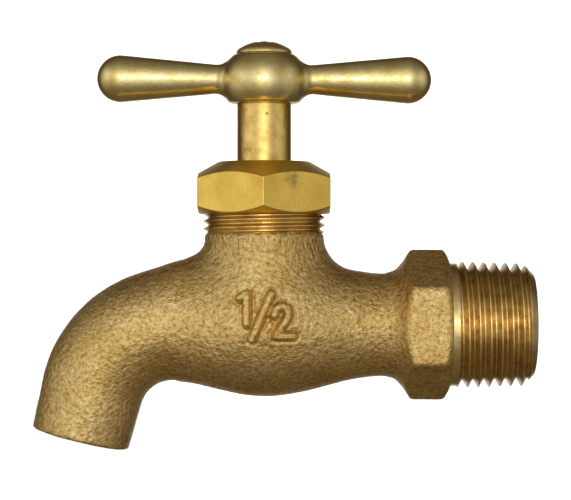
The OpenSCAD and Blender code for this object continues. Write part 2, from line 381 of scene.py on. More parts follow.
# %% Smooth brass, in several tones
def smooth_brass(name, pale, deep, roughness, marks, mark_depth, stretch, cloud_size, streak=0.84,
                 spread=0.12):
    """Two tones in clouds, with tool marks stretched along one axis and a few dark specks."""
    material, tree, shader, mm = finish_tree(name, roughness)
    cloud = noise(tree, mm, cloud_size, 4.0, roughness=0.6)
    line = noise(tree, mm, marks, 3.0, stretch=stretch, roughness=0.6)
    speck = noise(tree, mm, 5.0, 1.0)
    metal = ramp(tree, cloud, [(0.34, deep), (0.58, pale)])
    streaks = ramp(tree, line, [(0.3, streak), (0.6, 1.0)])
    metal = blend(tree, "MULTIPLY", 0.7, metal, streaks)
    spots = ramp(tree, speck, [(0.70, 1.0), (0.78, 0.55)])
    tree.links.new(blend(tree, "MULTIPLY", 0.5, metal, spots), shader.inputs["Base Color"])
    tree.links.new(ramp(tree, cloud, [(0.3, roughness + spread), (0.65, roughness - spread / 3)]),
                   shader.inputs["Roughness"])
    bumps(tree, shader, [(line, mark_depth, 0.35), (cloud, 0.25, 0.12)])
    return material


thread_brass = smooth_brass("cut thread brass", (0.82, 0.64, 0.31), (0.60, 0.42, 0.18), 0.2, 9.0, 0.02,
                            (6.0, 0.6, 0.6), 0.5)
neck_brass = smooth_brass("neck thread brass", (0.80, 0.58, 0.22), (0.64, 0.43, 0.15), 0.22, 9.0, 0.02,
                          (0.6, 0.6, 6.0), 0.5)
nut_brass = smooth_brass("milled nut brass", (0.94, 0.65, 0.135), (0.88, 0.58, 0.115), 0.33, 7.0, 0.02,
                         (2.2, 2.2, 0.12), 0.22, streak=0.68)
stem_brass = smooth_brass("turned stem brass", (0.90, 0.64, 0.21), (0.70, 0.44, 0.11), 0.22, 8.0, 0.015,
                          (1.0, 1.0, 0.10), 0.42, spread=0.045)
handle_brass = smooth_brass("tumbled handle brass", (0.88, 0.75, 0.37), (0.74, 0.57, 0.19), 0.2, 5.0, 0.03,
                            (0.25, 1.5, 1.5), 0.4, streak=0.74)
screw_brass = smooth_brass("screw brass", (0.88, 0.72, 0.33), (0.66, 0.50, 0.22), 0.3, 5.0, 0.02, None, 0.8)
print("finishes so far:", [m.name for m in bpy.data.materials])

# %% [markdown]
# ### Stains
# A few marks belong to one place: a smudge on the nut, a pit in the stem and a brown patch near its foot.
# Painting them would need an image. Here each is a distance from one point, made ragged by noise.

# %% Stains on the nut and the stem
RAGGED, STAIN_REACH, STAIN_STRENGTH = 1.6, 1.75, 0.8


def stain(material, at, size, colour):
    """A smudge round a point, in millimetres in the model's frame."""
    tree = material.node_tree
    base = tree.nodes["Principled BSDF"].inputs["Base Color"]
    below = base.links[0].from_socket
    mm = next(n for n in tree.nodes if n.type == "MAPPING").outputs["Vector"]
    off = tree.nodes.new("ShaderNodeVectorMath")
    off.operation = "DISTANCE"
    off.inputs[1].default_value = at
    tree.links.new(mm, off.inputs[0])
    ragged = Wire(tree, off.outputs["Value"]) / size + Wire(tree, noise(tree, mm, 1.3, 4.0)) * RAGGED
    spot = (ragged * -1 + STAIN_REACH).clamp(high=STAIN_STRENGTH)
    tree.links.new(blend(tree, "MIX", spot.socket, below, colour), base)


stain(nut_brass, (STEM_X + 4.7, -10.0, 24.3), 1.9, (0.30, 0.25, 0.09))
stain(stem_brass, (STEM_X + 0.5, -4.6, 35.4), 0.42, (0.12, 0.07, 0.03))
stain(stem_brass, (STEM_X - 2.6, -3.8, 29.5), 1.5, (0.42, 0.24, 0.08))
print("finishes:", len(bpy.data.materials))

# %% [markdown]
# ## The casting
# The body is drawn as its pattern maker would: a round tube that swells to the globe under the stem, a spout
# that bends down, a neck, and a hex for the wrench. Each is a distance field in workshop millimetres.

# %% The globe and the tube that follows the spout
TUBE = dict(bend_x=-14.7, bend_z=-14.6, bend_r=14.77, turn=math.radians(76.2), nose=8.35)


def swell(u):
    """A smooth hump, 1 in the middle and 0 from -1 and 1 outwards."""
    return np.where(np.abs(u) >= 1, 0, (1 + np.cos(np.pi * np.clip(u, -1, 1))) / 2)


def globe_radius(x):
    return np.where(x > 0, 8.65 + 3.45 * swell(x / 20.5), 9.5 + 2.6 * swell(x / 16.5))


def spout_tube(x, y, z, straight, radii, lift=0.0):
    """A tube along the spout: radii are those before the bend, at its end and at the mouth."""
    b = TUBE
    out, up = b["bend_x"] - x, z - b["bend_z"]
    turn = np.arctan2(out, up)
    along = np.clip(turn / b["turn"], 0, 1)
    ring = np.hypot(np.hypot(out, up) - b["bend_r"], y)
    bend = ring - (radii[0] + (radii[1] - radii[0]) * along) - lift
    bend = np.where((turn > -0.03) & (turn < b["turn"] + 0.03), bend, 9)
    c, s = math.cos(b["turn"]), math.sin(b["turn"])
    end_x, end_z = b["bend_x"] - b["bend_r"] * s, b["bend_z"] + b["bend_r"] * c
    gone = -(x - end_x) * c - (z - end_z) * s
    aside = (x - end_x) * s - (z - end_z) * c
    nose = np.hypot(aside, y) - (radii[1] + (radii[2] - radii[1]) * np.clip(gone / b["nose"], 0, 1))
    nose = np.maximum(nose, -gone - 0.2)
    return np.minimum(np.minimum(np.maximum(straight, b["bend_x"] - 0.1 - x), bend), nose), gone


print(f"globe {2 * float(globe_radius(np.array(0.0))):.1f} mm across, spout bent "
      f"{math.degrees(TUBE['turn']):.0f} degrees")

# %% [markdown]
# ### The neck and the wrench hex
# The neck is a post that melts into the globe, with a wider fillet towards the inlet. On its spout side the
# metal is thicker, so the tube is lifted there. The hex is six flats met by a lathe-like profile that draws
# its ends in, and its curved corners appear by themselves where the two meet.

# %% The outside of the casting
SPOUT_RADII = (9.58, 8.58, 8.26)
NECK_R, THREAD_CORE_R, NECK_CUT_Z, NECK_TOP = 10.05, 9.35, 15.2, 23.9
LIFT_START_X, LIFT_MOST = -18.3, 2.4
HALF_FLATS = 11.1
HEX_START, HEX_END = 20.7, 31.4
HEX_X = [20.9, 21.7, 22.5, 23.4, 24.4, 24.9, 30.0, 30.3, HEX_END]
HEX_R = [8.6, 8.95, 9.6, 10.6, 12.2, 13.3, 13.2, 12.75, 10.4]
STUB_R = 9.0


def spout_lift(x, z, across):
    """How far the top of the spout is raised, in front of the neck."""
    top = np.clip(z / np.maximum(across, 0.1), 0, 1) ** 3
    rise = x - LIFT_START_X
    lift = np.minimum(0.1375 * (rise + np.sqrt(rise * rise + 4)), LIFT_MOST)
    return lift * swell(np.clip(1 + x / 8, 0, 1)) * top


def wrench_hex(x, y, z, across):
    sloping = 0.5 * np.abs(y) + 0.866 * np.sqrt(z * z + 0.05)
    flats = meet(np.abs(y) - HALF_FLATS, sloping - HALF_FLATS, 0.45)
    wrench = meet(flats, (across - np.interp(x, HEX_X, HEX_R)) * 0.6, 0.5)
    return meet(wrench, np.maximum(HEX_START - x, x - HEX_END), 0.3)


def cast_body(x, y, z):
    across, round_stem = np.sqrt(y * y + z * z), np.hypot(x, y)
    lift = spout_lift(x, z, across)
    straight = np.maximum(across - globe_radius(x) - lift, x - 28)
    tube, gone = spout_tube(x, y, z, straight, SPOUT_RADII, lift)
    tube = meet(tube, gone - TUBE["nose"], 0.25)
    neck_r = np.interp(z, [NECK_CUT_Z, NECK_CUT_Z + 0.5], [NECK_R, THREAD_CORE_R])
    neck = np.maximum(round_stem - neck_r, np.maximum(z - NECK_TOP, -z))
    right = np.clip(0.5 + 0.5 * x / np.maximum(round_stem, 0.1), 0, 1)
    body = join(tube, neck, 1.6 + 2.8 * right ** 0.7)
    body = join(body, wrench_hex(x, y, z, across), 0.6)
    stub = np.maximum(across - STUB_R, np.maximum(25 - x, x - INLET_END + 0.35))
    return np.minimum(body, stub), across, round_stem


print(f"hex {2 * HALF_FLATS:.1f} mm across its flats, {2 * HALF_FLATS / 0.866:.1f} across its corners")

# %% [markdown]
# ### The water's way
# Sand cores leave the hollows that the water runs through, and a drill trues the round ones. All are drawn as
# one shape, so a single cut takes them out and leaves the same small round on every edge.

# %% The hollows of the casting
INLET_R, SPOUT_R, MOUTH_R = 6.8, 6.1, 6.2
CHAMBER_R, GUIDE_R, PACKING_R, SEAT_R, PORT_R = 8.2, 7.9, 8.1, 4.75, 4.6
CHAMBER_Z, SEAT_Z = (0.5, 8.4), (-6.2, 2)


def waterway(x, y, z, across, round_stem):
    tube, _ = spout_tube(x, y, z, across - SPOUT_R, (SPOUT_R, SPOUT_R, MOUTH_R))
    outlet = np.maximum(tube, x + 7)
    chamber = np.maximum(round_stem - CHAMBER_R, np.maximum(CHAMBER_Z[0] - z, z - CHAMBER_Z[1]))
    guide = np.maximum(round_stem - GUIDE_R, 8 - z)
    packing = np.maximum(round_stem - PACKING_R, 19.35 - z)
    seat = np.maximum(round_stem - SEAT_R, np.maximum(z - SEAT_Z[1], SEAT_Z[0] - z))
    port = np.maximum(np.hypot(y, z + 3.5) - PORT_R, np.maximum(x - 14, -x))
    ways = np.maximum(across - INLET_R, 12.6 - x)
    for way in (outlet, chamber, guide, packing, seat, port):
        ways = np.minimum(ways, way)
    return ways


print(f"wall at the spout's mouth: {SPOUT_RADII[2] - MOUTH_R:.2f} mm")

# %% [markdown]
# ### Pouring it
# The block of points is 0.42 mm apart, which keeps the number of faces down. The block of points is as fine
# as a piece's budget of faces allows. Sand grain would need a far finer one, so it is left to the rule that
# follows.

# %% Cast it
VOXEL = 0.42
cast_low = np.array([-40.5, -13.6, -22.8])
points_block = block(cast_low, (46.2, 13.6, 25.0), VOXEL)
solid, across, round_stem = cast_body(*points_block)
solid = cut(solid, waterway(*points_block, across, round_stem), 0.2)
cast_points, cast_faces = skin(solid, cast_low, VOXEL)
print(f"casting: {len(cast_faces)} faces from a block of {solid.size / 1e6:.1f} million points")

# %% [markdown]
# ### The raised size mark
# A half-inch bib has its size cast on its side. The figures stand not quite a millimetre proud with sloping
# sides, so that the pattern leaves the sand, and a shallow hollow runs round them. Text objects would float
# on the curved side. Here the strokes push the skin itself out, once that patch is divided finer.

# %% Strokes of the figures, as x and z
STROKES = [
    [(-3.85, 4.65), (-2.72, 5.30), (-2.72, 0.50)],
    [(1.24, 5.30), (-1.88, -1.90)],
    [(1.72, 1.95), (2.10, 2.95), (2.95, 3.32), (3.85, 2.95), (4.10, 2.05), (3.65, 1.10), (2.05, -1.45),
     (4.80, -1.45)],
]
FIGURE_RISE, HALF_STROKE, FLANK = 0.86, 0.96, 0.70
GROOVE_DEPTH, GROOVE_AT, GROOVE_WIDTH = 0.24, 1.10, 0.22


def stroke_distance(x, z):
    best = np.full(len(x), 99.0)
    for stroke in STROKES:
        for (ax, az), (bx, bz) in zip(stroke, stroke[1:]):
            dx, dz = bx - ax, bz - az
            t = np.clip(((x - ax) * dx + (z - az) * dz) / (dx * dx + dz * dz), 0, 1)
            best = np.minimum(best, np.hypot(x - ax - t * dx, z - az - t * dz))
    return best


def on_side(middle):
    """Whether a face is on the outer wall where the figures stand."""
    x, y, z = middle
    return y < -6 and -5.6 < x < 6.6 and -3.8 < z < 7.1 and y * y + z * z > 75


def raise_figures(points, faces):
    work = bmesh.new()
    verts = [work.verts.new(p) for p in points]
    for face in faces:
        work.faces.new([verts[i] for i in face])
    patch = [f for f in work.faces if on_side(f.calc_center_median())]
    edges = list({e for f in patch for e in f.edges})
    bmesh.ops.subdivide_edges(work, edges=edges, cuts=2, use_grid_fill=True)
    work.normal_update()
    for vert in work.verts:
        p = vert.co
        if p.y < -6 and -6 < p.x < 7 and -4.2 < p.z < 7.5 and vert.normal.y < -0.3:
            away = stroke_distance(np.array([p.x]), np.array([p.z]))[0]
            t = min(max((HALF_STROKE - away) / FLANK, 0), 1)
            groove = GROOVE_DEPTH * math.exp(-((away - GROOVE_AT) / GROOVE_WIDTH) ** 2)
            vert.co = p + vert.normal * (FIGURE_RISE * t * t * (3 - 2 * t) - groove)
    bmesh.ops.triangulate(work, faces=[f for f in work.faces if len(f.verts) > 4])
    made = bpy.data.meshes.new("casting")
    work.to_mesh(made)
    work.free()
    return made


cast_mesh = raise_figures(cast_points.tolist(), cast_faces.tolist())
print(f"with its figures: {len(cast_mesh.polygons)} faces")

# %% [markdown]
# ### Running a rule
# A rule is a node tree with its sizes as named inputs. It is opened, filled with sums, closed with a finish,
# and then run on a mesh. The result is kept as a plain mesh, so nothing has to be worked out again later.

# %% Open, close and run a rule
def open_tree(name, sizes):
    """A new tree with its named number inputs as wires."""
    tree = bpy.data.node_groups.new(name, "GeometryNodeTree")
    tree.interface.new_socket("Geometry", in_out="INPUT", socket_type="NodeSocketGeometry")
    tree.interface.new_socket("Geometry", in_out="OUTPUT", socket_type="NodeSocketGeometry")
    for label, value in sizes.items():
        tree.interface.new_socket(label, in_out="INPUT", socket_type="NodeSocketFloat").default_value = value
    tree.interface.new_socket("Material", in_out="INPUT", socket_type="NodeSocketMaterial")
    start = tree.nodes.new("NodeGroupInput")
    return tree, start, {label: Wire(tree, start.outputs[label]) for label in sizes}


def close_tree(tree, start, geometry):
    realize = add_node(tree, "GeometryNodeRealizeInstances", Geometry=geometry)
    paint = add_node(tree, "GeometryNodeSetMaterial", Geometry=realize.outputs[0],
                     Material=start.outputs["Material"])
    add_node(tree, "NodeGroupOutput", Geometry=paint.outputs[0])


def bake_piece(name, tree, mesh, material, sizes=None, turn=None):
    """Runs a tree on a mesh and keeps the result as a plain mesh."""
    holder = new_object(name + " holder", mesh)
    modifier = holder.modifiers.new("rule", "NODES")
    modifier.node_group = tree
    keys = {item.name: item.identifier for item in tree.interface.items_tree
            if item.item_type == "SOCKET" and item.in_out == "INPUT"}
    for label, value in (sizes or {}).items():
        modifier[keys[label]] = float(value)
    modifier[keys["Material"]] = material
    graph = bpy.context.evaluated_depsgraph_get()
    result = bpy.data.meshes.new_from_object(holder.evaluated_get(graph))
    bpy.data.objects.remove(holder)
    points = np.empty(len(result.vertices) * 3)
    result.vertices.foreach_get("co", points)
    points = points.reshape(-1, 3)
    if turn is not None:
        points = points @ np.array(turn).T
    result.vertices.foreach_set("co", into_place(points).ravel())
    result.name = name
    result.update()
    return result


print("rules can be opened, closed and run")

# %% [markdown]
# ### The sand skin
# A rammed sand mould is never quite true, so the casting has slow waves as well as grain. Sculpting them by
# hand would take hours and differ each time. A short tree moves each point along its normal by two sizes of
# noise, which gives real relief that shows along the outline.

# %% Waves and grain as a rule
def sand_skin_tree():
    tree, start, size = open_tree("sand skin", {"Wave height": 0.16, "Grain height": 0.13, "Seed": 4.0})
    position = tree.nodes.new("GeometryNodeInputPosition")
    normal = tree.nodes.new("GeometryNodeInputNormal")
    total = None
    for scale, height in ((0.22, size["Wave height"]), (1.15, size["Grain height"])):
        made = add_node(tree, "ShaderNodeTexNoise", Scale=scale, Detail=2.0, Vector=position.outputs[0])
        made.noise_dimensions = "4D"
        tree.links.new(size["Seed"].socket, made.inputs["W"])
        layer = (Wire(tree, made.outputs["Fac"]) - 0.5) * height
        total = layer if total is None else total + layer
    push = tree.nodes.new("ShaderNodeVectorMath")
    push.operation = "SCALE"
    tree.links.new(normal.outputs[0], push.inputs[0])
    tree.links.new(total.socket, push.inputs["Scale"])
    move = add_node(tree, "GeometryNodeSetPosition", Geometry=start.outputs["Geometry"],
                    Offset=push.outputs[0])
    close_tree(tree, start, move.outputs[0])
    return tree


cast_mesh = bake_piece("casting", sand_skin_tree(), cast_mesh, cast_brass)
smooth_faces(cast_mesh)
casting = show_piece(cast_mesh, "casting", "valve_body", "cast_brass")
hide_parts("body")
print("casting: %d triangles" % sum(len(p.vertices) - 2 for p in cast_mesh.polygons))

# %% [markdown]
# ## Threads
# A thread is one ridge wound round a rod. An array of rings would look right only until the light catches it,
# and a swept curve pinches at its ends. This tree bends a flat grid round the axis instead: one side of the
# grid counts turns, the other crosses a single ridge, and each point's radius is the sum of crest, flank and
# taper, cut back by the cone at the rod's end. Neighbouring turns share their edges, so it is one clean skin.

# %% The rule of a thread
RIDGE_ROWS = 20
FLAT_SHARE = 0.1


def thread_tree(name, turns, around, sizes):
    tree, start, size = open_tree(name, sizes)
    grid = add_node(tree, "GeometryNodeMeshGrid", **{
        "Size X": 1, "Size Y": 1, "Vertices X": turns * around + 1, "Vertices Y": RIDGE_ROWS + 1})
    grid_x, grid_y, _ = split_axes(tree, tree.nodes.new("GeometryNodeInputPosition").outputs[0])
    wound = (grid_x + 0.5) * turns
    row = grid_y + 0.5
    path = (wound + row) * size["Pitch"] + size["Start"]
    peak = (row * 2 - 1).math("ABSOLUTE") * -1 + 1
    tooth = ((peak - FLAT_SHARE) / (1 - 2 * FLAT_SHARE)).clamp()
    cut_r = size["Crest radius"] - size["Depth"] * (tooth * -1 + 1)
    cut_r = cut_r - size["Taper"] * (path - size["Taper from"])
    plain = ((size["Plain until"] - path) * 9 + 0.5).clamp()
    cut_r = cut_r + (size["Plain radius"] - cut_r) * plain
    past = (path - size["End"]).math("MAXIMUM", 0)
    face = past.math("MINIMUM", size["End radius"] - size["Bore radius"])
    inward = past - face
    cone = size["End radius"] + (size["End"] - path).math("MAXIMUM", 0) * size["Cone"] - face
    buried = (path - size["Start"] - size["Pitch"]).math("MAXIMUM", 0) * size["Rise"] + size["Root radius"]
    radius = cut_r.math("SMOOTH_MIN", cone, 0.35).math("MINIMUM", cone).math("MINIMUM", buried)
    angle = wound * (2 * math.pi)
    along = path.math("MINIMUM", size["End"]) - inward
    place = add_node(tree, "ShaderNodeCombineXYZ", X=(radius * angle.math("COSINE")).socket,
                     Y=(radius * angle.math("SINE")).socket, Z=along.socket)
    move = add_node(tree, "GeometryNodeSetPosition", Geometry=grid.outputs["Mesh"], Position=place.outputs[0])
    weld = add_node(tree, "GeometryNodeMergeByDistance", Distance=0.0005, Geometry=move.outputs[0])
    close_tree(tree, start, weld.outputs[0])
    return tree


print(f"{RIDGE_ROWS} rows of points cross each ridge")

# %% [markdown]
# ### From a wound skin to a solid
# The first turn starts under the metal, so no open notch shows where the thread begins. The first and last
# edges are then joined through the metal, because a solid needs a closed skin. Sizes that a thread doesn't
# need keep values that do nothing.

# %% Close the skin and cut a thread
def close_tube(mesh):
    """Joins the first and last edge loops through the metal."""
    work = bmesh.new()
    work.from_mesh(mesh)
    bmesh.ops.bridge_loops(work, edges=[e for e in work.edges if e.is_boundary])
    bmesh.ops.recalc_face_normals(work, faces=work.faces[:])
    work.to_mesh(mesh)
    work.free()
    return mesh


SHARP = math.radians(32)


def cut_thread(name, body, slot, material, turns, sizes, around=120, turn=None):
    usual = {"Crest radius": 10.0, "Depth": 1.0, "Pitch": 1.0, "Start": 0.0, "Taper": 0.0, "Taper from": 0.0,
             "Plain until": -999.0, "Plain radius": 0.0, "End": 999.0, "End radius": 5.0, "Bore radius": 4.0,
             "Cone": 1.0, "Root radius": 8.0, "Rise": 6.0}
    usual.update(sizes)
    tree = thread_tree(name, turns, around, usual)
    mesh = close_tube(bake_piece(name, tree, bpy.data.meshes.new(name), material, usual, turn))
    smooth_faces(mesh)
    mesh.set_sharp_from_angle(angle=SHARP)
    return show_piece(mesh, name, body, slot)


print("edges steeper than", round(math.degrees(SHARP)), "degrees stay sharp")

# %% [markdown]
# ### The pipe thread
# Water pipe has a tapered thread, 14 to the inch, that jams tight as it is screwed in. A plain collar is left
# beside the hex, where the die stopped. The tree winds round Z, so the result is turned along the inlet.

# %% The pipe thread
PIPE_PITCH = 1.814
ALONG_INLET = [[0, 0, 1], [1, 0, 0], [0, 1, 0]]
pipe_thread = cut_thread(
    "pipe_thread", "valve_body", "turned_brass", thread_brass, 11,
    {"Crest radius": 10.52, "Depth": 1.25, "Pitch": PIPE_PITCH, "Start": 28.425, "Taper": 1 / 32,
     "Taper from": -STEM_X, "Plain until": 32.5, "Plain radius": 10.35, "End": INLET_END, "End radius": 8.5,
     "Bore radius": 6.7, "Cone": 1.05}, turn=ALONG_INLET)
print("pipe thread:", len(pipe_thread.data.polygons), "faces")

# %% [markdown]
# ### The neck thread
# The packing nut screws onto this one: straight and fine, 20 to the inch. Two or three turns show under it.

# %% The neck thread
neck_thread = cut_thread(
    "neck_thread", "valve_body", "turned_brass", neck_brass, 10,
    {"Crest radius": 10.25, "Depth": 0.78, "Pitch": 1.27, "Start": 13.625, "End": 23.95, "End radius": 9.5,
     "Bore radius": 8.3, "Root radius": 8.9, "Rise": 1.75})
print("neck thread:", len(neck_thread.data.polygons), "faces")

# %% [markdown]
# ## Turned pieces
# The stem and the screw's shank come off a lathe, so each is an outline spun round the axis. Real edges are
# never sharp: a cutter leaves a small round, and that round is what catches the light. Every corner of an
# outline is therefore replaced by a short arc.

# %% A lathe
def ease(outline, radius=0.12):
    """Rounds the corners of an outline of (radius, height) points."""
    made = [outline[0]]
    for before, here, after in zip(outline, outline[1:], outline[2:]):
        p = np.array(here, float)
        a, b = np.array(before) - p, np.array(after) - p
        reach = min(radius, np.linalg.norm(a) / 2.1, np.linalg.norm(b) / 2.1)
        a, b = a / np.linalg.norm(a) * reach, b / np.linalg.norm(b) * reach
        for t in (0, 0.33, 0.67, 1):
            made.append(tuple(p + a * (1 - t) ** 2 + b * t ** 2))
    return made + [outline[-1]]


def turned(outline, around=96):
    """Points and faces of an outline spun round Z, closed on the axis."""
    r, z = np.array(outline).T
    turn = np.linspace(0, 2 * np.pi, around, endpoint=False)
    points = np.stack([np.outer(np.cos(turn), r), np.outer(np.sin(turn), r), np.tile(z, (around, 1))], -1)
    n = len(r)
    faces = faces_round(around, n)
    points = points.reshape(-1, 3).tolist()
    points += [[0, 0, z[0]], [0, 0, z[-1]]]
    for i in range(around):
        j = (i + 1) % around
        faces.append((len(points) - 2, j * n, i * n))
        faces.append((len(points) - 1, i * n + n - 1, j * n + n - 1))
    return points, faces


def sharpen(piece):
    piece.data.set_sharp_from_angle(angle=SHARP)
    return piece


print("a square corner becomes", len(ease([(1, 0), (1, 1), (0, 1)])) - 2, "points")

# %% [markdown]
# ### The stem
# Only the round shank shows, but the washer's cup, the two screw holes and the square that drives the handle
# are made too, because they can be seen with the valve taken apart. The outline starts in one screw hole and
# ends in the other. The square is milled afterwards, by moving points of the round end in to four flats.

# %% The stem
SHOULDER, STEM_TOP = 38.0, 43.3
CUP_Z, CUP_DEPTH_Z, CUP_R, CUP_INNER_R = 3.2, 5.22, 6.8, 6.4
SHANK_R, TAPPED_R = 4.575, 2.1
SQUARE_HALF, SQUARE_R = 3.4, 4.3


def mill_square(points):
    """Flattens four sides of the round end above the shoulder."""
    x, y, z = np.array(points, float).T
    r = np.maximum(np.hypot(x, y), 1e-6)
    flat = SQUARE_HALF * r / np.maximum(np.maximum(np.abs(x), np.abs(y)), 1e-6) + r - SQUARE_R
    milled = (z > SHOULDER + 0.005) & (r > TAPPED_R + 0.2)
    scale = np.where(milled, np.minimum(r, flat) / r, 1)
    return np.stack([x * scale, y * scale, z], axis=1)


shank = ease([(TAPPED_R, 12.4), (TAPPED_R, CUP_DEPTH_Z), (CUP_INNER_R, CUP_DEPTH_Z), (CUP_INNER_R, CUP_Z),
              (CUP_R, CUP_Z), (CUP_R, 6.4), (6.75, 6.7), (6.75, 11.6), (SHANK_R, 12.7), (SHANK_R, SHOULDER),
              (SQUARE_R, SHOULDER), (SQUARE_R, STEM_TOP), (TAPPED_R, STEM_TOP), (TAPPED_R, 34.4)])
stem_points, stem_faces = turned(shank)
stem_points = mill_square(stem_points)
stem = sharpen(new_piece("stem_shank", stem_points, stem_faces, stem_brass, "spindle", "stem_brass"))
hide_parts("stem")
print("stem:", len(stem.data.polygons), "faces")

# %% [markdown]
# ### The lifting thread
# This coarse thread, ten to the inch, raises the stem as the handle goes round. It is the same rule once
# more, with its inner edge buried in the wall of the washer's cup.

# %% The lifting thread
CUP_WALL_R = 6.45
lifting_thread = cut_thread(
    "lifting_thread", "spindle", "stem_brass", stem_brass, 5,
    {"Crest radius": 7.6, "Depth": 0.8, "Pitch": 2.54, "Start": 3.9, "End": 11.6, "End radius": 7.0,
     "Bore radius": CUP_WALL_R, "Root radius": CUP_WALL_R})
print("lifting thread:", len(lifting_thread.data.polygons), "faces")

# %% [markdown]
# ## The packing nut
# A hex nut is bar stock turned to a cone at each end. Where the cone leaves each flat it draws the curved
# line that makes a nut look like a nut. A six-sided cylinder with a bevel can't show it, so the nut is built
# column by column: each column knows how far out the flat is there, and where the cone meets it.

# %% The nut, column by column
COLUMNS = 6 * 16
CONE_R, CONE_SLOPE = 7.7, 5.32 / 3.0
FOOT_R, FOOT_SLOPE = 10.9, 1.6
STEM_HOLE_R, THREAD_HOLE_R, HOLE_STEP_Z = 4.8, 10.42, 25.0


def nut_mesh():
    points = []
    for i in range(COLUMNS):
        turn = 2 * math.pi * i / COLUMNS
        side = (turn + math.pi / 6) % (math.pi / 3) - math.pi / 6
        out = HALF_FLATS / math.cos(side)
        arc_top = NUT_TOP - (out - CONE_R) / CONE_SLOPE
        arc_low = NUT_LOW + max(out - FOOT_R, 0) / FOOT_SLOPE
        ring = [(THREAD_HOLE_R, NUT_LOW), (FOOT_R, NUT_LOW), (out, arc_low), (out, arc_top), (CONE_R, NUT_TOP),
                (STEM_HOLE_R, NUT_TOP), (STEM_HOLE_R, HOLE_STEP_Z), (THREAD_HOLE_R, HOLE_STEP_Z)]
        points += [(r * math.cos(turn), r * math.sin(turn), z) for r, z in ring]
    return points, faces_round(COLUMNS, len(ring), closed=True)


nut = new_piece("packing_nut_milled", *nut_mesh(), nut_brass, "valve_body", "turned_brass")
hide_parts("packing_nut")
soft_edges = nut.modifiers.new("softened edges", "BEVEL")
soft_edges.width, soft_edges.segments = 0.00014, 3
soft_edges.limit_method, soft_edges.angle_limit = "ANGLE", math.radians(20)
soft_edges.harden_normals = True
print("nut:", len(nut.data.polygons), "faces before its edges are softened")

# %% [markdown]
# ## The tee handle
# The handle is a small casting, tumbled with stones until it is half bright. Its arms swell from slim roots
# to round ends, and run into a ball-shaped hub. Arms turned on a lathe and joined to a ball would meet it in
# a sharp seam, so it is a distance field like the body, with a soft fillet there.

# %% Hub and arms
HANDLE_VOXEL = 0.26
ARM_Z, ARM_DROOP, ARM_REACH = 41.42, 0.12, 24.0
KNOB_X, KNOB_R = 24.25, 3.99
HUB_Z, HUB_R, HUB_HALF, HUB_MEAN = 41.15, 7.4, 6.2, 6.6
SOCKET_HALF, SOCKET_MIDDLE, SOCKET_REACH = 3.5, 40, 3.45
STEM_GAP = 0.105


def tee(x, y, z):
    reach = np.abs(x)
    arm_r = np.interp(reach, [0, 7, 8.5, 24.1, 40], [2.42, 2.42, 2.52, 3.98, 3.98])
    low = z - ARM_Z + np.where(x > 0, ARM_DROOP, -ARM_DROOP) * np.clip(reach / ARM_REACH, 0, 1)
    arm = np.hypot(y, low) - arm_r
    knob = np.sqrt(np.maximum(reach - KNOB_X, 0) ** 2 + y * y + low ** 2) - KNOB_R
    arm = np.where(reach > KNOB_X, knob, arm * 0.995)
    ball = np.sqrt((x * x + y * y) / HUB_R ** 2 + ((z - HUB_Z) / HUB_HALF) ** 2)
    hub = meet((ball - 1) * HUB_MEAN, np.maximum(HUB_LOW - z, z - HUB_TOP), 0.3)
    body = join(hub, arm, 1.15)
    body = cut(body, np.maximum(np.hypot(x, y) - SHANK_R - STEM_GAP, z - SHOULDER - 0.1), 0.15)
    socket = np.maximum(np.abs(x), np.abs(y)) - SOCKET_HALF
    return np.maximum(body, -np.maximum(socket, np.abs(z - SOCKET_MIDDLE) - SOCKET_REACH))


handle_low = np.array([-29.2, -8.4, 35.8])
handle_field = tee(*block(handle_low, (29.2, 8.4, 47.0), HANDLE_VOXEL))
handle_points, handle_faces = skin(handle_field, handle_low, HANDLE_VOXEL)
handle = new_piece("tee_handle_tumbled", handle_points, handle_faces, handle_brass, "spindle",
                   "polished_brass")
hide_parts("tee_handle")
print("handle:", len(handle_faces), "faces")

# %% [markdown]
# ## The handle screw
# A domed head with a cross recess, on a rim that stands up straight for about half a millimetre. Cutting two
# boxes out would leave razor edges. As a field the two tapered slots get slightly rounded ones. Its block is
# finer than the handle's, because the head is small.

# %% Screw head and shank
SCREW_VOXEL = 0.13
HEAD_R, DOME_R = 4.72, 7.65
SLOT_HALF, SLOT_REACH, SLOT_FLOOR = 0.42, 1.75, 0.75


def screw_head(x, y, z):
    r = np.hypot(x, y)
    up = z - HUB_TOP
    dome = np.sqrt(x * x + y * y + (up + DOME_R - SCREW_HEAD_RISE) ** 2) - DOME_R
    head = meet(meet(r - HEAD_R, dome, 0.35), 0.02 - up, 0.12)
    a, b = np.abs(x + y) / 1.4142, np.abs(x - y) / 1.4142
    taper = np.clip(up - 0.4, 0, 3) * 0.16
    cross = np.minimum(np.maximum(a - SLOT_HALF - taper, b - SLOT_REACH - taper * 2),
                       np.maximum(b - SLOT_HALF - taper, a - SLOT_REACH - taper * 2))
    return cut(head, np.maximum(cross, SLOT_FLOOR - up), 0.12)


screw_low = np.array([-5.4, -5.4, HUB_TOP - 0.5])
head_field = screw_head(*block(screw_low, (5.4, 5.4, HUB_TOP + 2.9), SCREW_VOXEL))
head_points, head_faces = skin(head_field, screw_low, SCREW_VOXEL)
screw = new_piece("handle_screw_head", head_points, head_faces, screw_brass, "spindle", "screw_brass")
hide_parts("handle_screw")
shank_outline = ease([(0.01, 35.2), (1.3, 35.2), (1.75, 35.7), (1.75, HUB_TOP + 0.3), (0.01, HUB_TOP + 0.3)])
sharpen(new_piece("handle_screw_shank", *turned(shank_outline, 40), screw_brass, "spindle", "screw_brass"))
print("screw head:", len(head_faces), "faces")

# %% [markdown]
# ## The pieces inside
# The rings, the rubber washer and its screw are hidden at rest. They could be turned again here, but their
# engineering meshes are already right, so they keep them and take finishes of their own.

